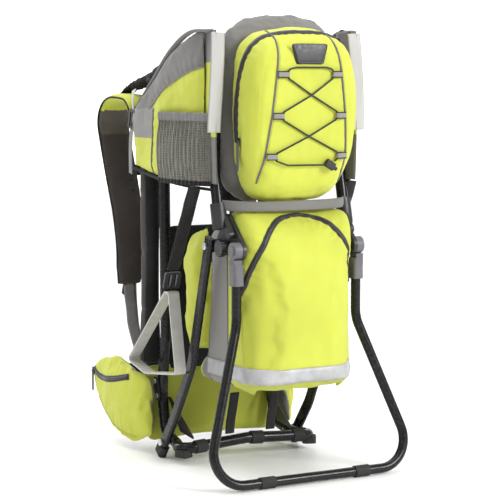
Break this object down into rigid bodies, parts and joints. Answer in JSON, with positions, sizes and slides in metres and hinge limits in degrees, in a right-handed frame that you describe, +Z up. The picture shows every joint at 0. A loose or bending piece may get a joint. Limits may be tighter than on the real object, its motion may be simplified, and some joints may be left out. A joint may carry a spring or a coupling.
{
  "type": "child carrier backpack",
  "caption": "Framed child carrier backpack with a folding rear stand, padded cockpit, zipped rear pockets, stirrups and a padded wearer's harness.",
  "frame": {"origin": "on the floor, under the middle of the carrier's bounding box", "axes": "+Z up, -Y towards the rear pockets and the stand's floor bar, +Y towards the wearer, X = 0 is the plane of symmetry of the frame"},
  "size_m": [0.3746, 0.5368, 0.762],
  "materials": {
    "black_tube": "gloss black powder coat on thin aluminium tube",
    "grip_rubber": "matt rubber",
    "grey_moulding": "fine grained nylon",
    "black_moulding": "satin nylon",
    "bright_bolts": "zinc plated steel",
    "dark_metal": "black enamel on zinc alloy",
    "lime_fabric": "plain woven polyester",
    "grey_fabric": "plain woven polyester",
    "olive_mesh": "elastic knitted mesh",
    "dark_padding": "brushed knit over foam",
    "black_webbing": "ribbed webbing",
    "pale_webbing": "ribbed webbing"
  },
  "bodies": {
    "frame": {"back_board": "black_moulding", "back_pads": "dark_padding", "bag_ties": "black_webbing", "base_feet": "grip_rubber", "belt_brackets": "black_moulding", "bracket_rivets": "bright_bolts", "bungee_cord": "black_webbing", "canopy_bands": "grey_fabric", "chest_buckle_body": "black_moulding", "chest_webbing": "black_webbing", "cord_lock": "black_moulding", "corner_gussets": "black_moulding", "crossbar_sleeves": "grip_rubber", "front_pad": "dark_padding", "hand_knobs": "black_moulding", "harness_buckle_body": "black_moulding", "harness_pads": "dark_padding", "harness_straps": "black_webbing", "head_hoop": "black_tube", "hinge_blocks": "black_moulding", "hinge_pins": "bright_bolts", "hip_wings": "lime_fabric", "hood": "grey_fabric", "inner_back": "dark_padding", "lace_tabs": "grey_fabric", "ladder_locks": "black_moulding", "load_lifters": "dark_padding", "lower_bag": "lime_fabric", "lower_webbing": "black_webbing", "lumbar_pad": "lime_fabric", "main_frame": "black_tube", "mesh_pockets": "olive_mesh", "seat_bucket": "lime_fabric", "seat_pad": "dark_padding", "shoulder_straps": "dark_padding", "side_buckles": "black_moulding", "side_panels": "lime_fabric", "stirrup_hangers": "black_webbing", "stirrup_loops": "pale_webbing", "stirrup_slides": "black_moulding", "strut_bolts": "bright_bolts", "struts": "black_tube", "upper_pocket": "lime_fabric", "waist_buckle_body": "black_moulding", "waist_webbing": "black_webbing", "yoke_bar": "black_tube", "zip_sliders": "dark_metal"},
    "stand": {"stand_tube": "black_tube", "stand_sockets": "grey_moulding", "stand_feet": "grip_rubber"},
    "lock_button_left": {"lock_button_left": "grey_moulding"},
    "lock_button_right": {"lock_button_right": "grey_moulding"},
    "upper_zip_pull": {"upper_zip_pull": "dark_metal"},
    "lower_zip_pull": {"lower_zip_pull": "dark_metal"},
    "hip_zip_pull_left": {"hip_zip_pull_left": "dark_metal"},
    "hip_zip_pull_right": {"hip_zip_pull_right": "dark_metal"},
    "waist_tongue": {"waist_buckle_tongue": "black_moulding"},
    "chest_tongue": {"chest_buckle_tongue": "black_moulding"},
    "harness_tongue": {"harness_buckle_tongue": "black_moulding"},
    "cord_lock_plunger": {"cord_lock_plunger": "black_moulding"}
  },
  "joints": [
    {"name": "stand_fold", "type": "hinge", "parent": "frame", "child": "stand", "pos_m": [0, -0.204, 0.378], "axis": [1, 0, 0], "range_deg": [0, 30]},
    {"name": "lock_button_left_press", "type": "slide", "parent": "stand", "child": "lock_button_left", "axis": [1, 0, 0], "range_m": [0, 0.003], "stiffness_N_per_m": 800},
    {"name": "lock_button_right_press", "type": "slide", "parent": "stand", "child": "lock_button_right", "axis": [-1, 0, 0], "range_m": [0, 0.003], "stiffness_N_per_m": 800},
    {"name": "upper_zip_pull_swing", "type": "hinge", "parent": "frame", "child": "upper_zip_pull", "pos_m": [-0.1069, -0.197, 0.552], "axis": [1, 0, 0], "range_deg": [-55, 40]},
    {"name": "lower_zip_pull_swing", "type": "hinge", "parent": "frame", "child": "lower_zip_pull", "pos_m": [-0.1029, -0.192, 0.299], "axis": [1, 0, 0], "range_deg": [-60, 60]},
    {"name": "hip_zip_pull_left_swing", "type": "hinge", "parent": "frame", "child": "hip_zip_pull_left", "pos_m": [-0.1645, 0.249, 0.122], "axis": [1, 0, 0], "range_deg": [-30, 60]},
    {"name": "hip_zip_pull_right_swing", "type": "hinge", "parent": "frame", "child": "hip_zip_pull_right", "pos_m": [0.1645, 0.249, 0.122], "axis": [1, 0, 0], "range_deg": [-30, 60]},
    {"name": "waist_buckle_release", "type": "slide", "parent": "frame", "child": "waist_tongue", "axis": [1, 0, 0], "range_m": [0, 0.022]},
    {"name": "chest_buckle_release", "type": "slide", "parent": "frame", "child": "chest_tongue", "axis": [1, 0, 0], "range_m": [0, 0.017]},
    {"name": "harness_buckle_release", "type": "slide", "parent": "frame", "child": "harness_tongue", "axis": [0, 0, 1], "range_m": [0, 0.012]},
    {"name": "cord_lock_squeeze", "type": "slide", "parent": "frame", "child": "cord_lock_plunger", "axis": [-0.8486, 0, 0.5291], "range_m": [0, 0.003], "stiffness_N_per_m": 400}
  ]
}
